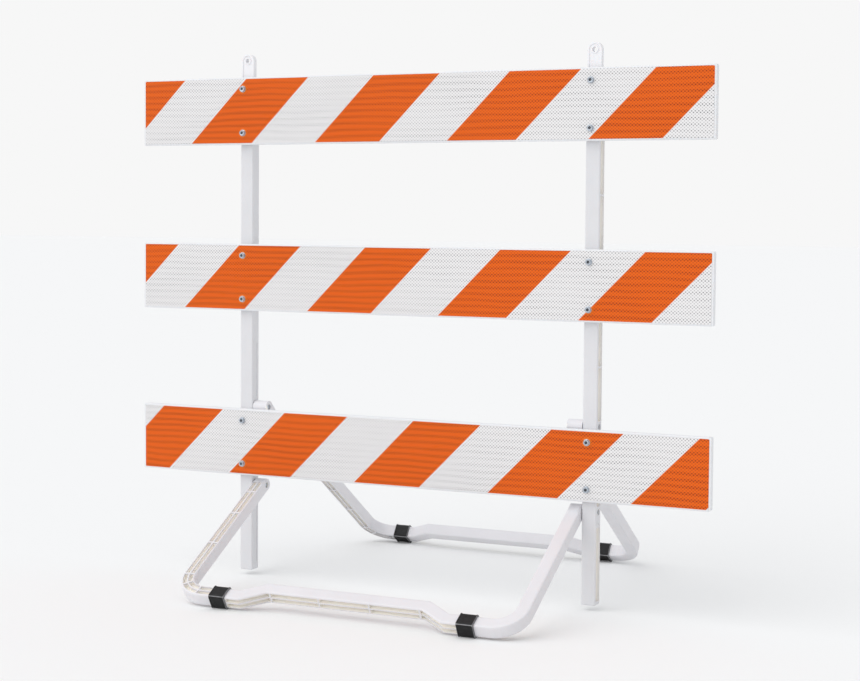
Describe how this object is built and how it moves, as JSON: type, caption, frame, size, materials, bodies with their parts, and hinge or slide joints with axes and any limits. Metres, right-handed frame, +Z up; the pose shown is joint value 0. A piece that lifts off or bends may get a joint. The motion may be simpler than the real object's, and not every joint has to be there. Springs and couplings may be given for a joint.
{
  "type": "a frame barricade",
  "caption": "Folding road barricade: striped reflective rails bolted to plastic uprights that stand on a short front leg and a long rear leg.",
  "frame": {"origin": "on the ground under the middle of the whole depth, midway between the uprights", "axes": "+X along the rails, +Z up, -Y towards the striped side"},
  "size_m": [1.8288, 1.197, 1.5953],
  "materials": {
    "board_plastic": "satin",
    "striped_sheeting": "retroreflective film with slanted stripes",
    "white_plastic": "fine grained moulded",
    "leg_plastic": "fine grained moulded",
    "black_rubber": "matte",
    "zinc_steel": "zinc plated"
  },
  "bodies": {
    "frame": {"board_top": "board_plastic", "board_middle": "board_plastic", "board_bottom": "board_plastic", "sheeting_top": "striped_sheeting", "sheeting_middle": "striped_sheeting", "sheeting_bottom": "striped_sheeting", "upright_left": "white_plastic", "upright_right": "white_plastic", "board_cap_top_left": "board_plastic", "board_cap_top_right": "board_plastic", "board_cap_middle_left": "board_plastic", "board_cap_middle_right": "board_plastic", "board_cap_bottom_left": "board_plastic", "board_cap_bottom_right": "board_plastic", "bolt_top_upper_left": "zinc_steel", "nut_top_upper_left": "zinc_steel", "bolt_top_upper_right": "zinc_steel", "nut_top_upper_right": "zinc_steel", "bolt_top_lower_left": "zinc_steel", "nut_top_lower_left": "zinc_steel", "bolt_top_lower_right": "zinc_steel", "nut_top_lower_right": "zinc_steel", "bolt_middle_upper_left": "zinc_steel", "nut_middle_upper_left": "zinc_steel", "bolt_middle_upper_right": "zinc_steel", "nut_middle_upper_right": "zinc_steel", "bolt_middle_lower_left": "zinc_steel", "nut_middle_lower_left": "zinc_steel", "bolt_middle_lower_right": "zinc_steel", "nut_middle_lower_right": "zinc_steel", "bolt_bottom_upper_left": "zinc_steel", "nut_bottom_upper_left": "zinc_steel", "bolt_bottom_upper_right": "zinc_steel", "nut_bottom_upper_right": "zinc_steel", "bolt_bottom_lower_left": "zinc_steel", "nut_bottom_lower_left": "zinc_steel", "bolt_bottom_lower_right": "zinc_steel", "nut_bottom_lower_right": "zinc_steel", "pin_front_left": "zinc_steel", "washer_front_left": "zinc_steel", "pin_front_right": "zinc_steel", "washer_front_right": "zinc_steel", "pin_rear_left": "zinc_steel", "washer_rear_left": "zinc_steel", "pin_rear_right": "zinc_steel", "washer_rear_right": "zinc_steel"},
    "front_leg": {"leg_front": "leg_plastic", "foot_front_left": "black_rubber", "foot_front_right": "black_rubber", "cap_front_left": "zinc_steel", "cap_front_right": "zinc_steel"},
    "rear_leg": {"leg_rear": "leg_plastic", "foot_rear_left": "black_rubber", "foot_rear_right": "black_rubber", "cap_rear_left": "zinc_steel", "cap_rear_right": "zinc_steel"}
  },
  "joints": [
    {"name": "front_leg_fold", "type": "hinge", "parent": "frame", "child": "front_leg", "pos_m": [0, -0.11753, 0.27935], "axis": [1, 0, 0], "range_deg": [0, 61]},
    {"name": "rear_leg_fold", "type": "hinge", "parent": "frame", "child": "rear_leg", "pos_m": [0, -0.11753, 0.51985], "axis": [-1, 0, 0], "range_deg": [0, 40]}
  ]
}
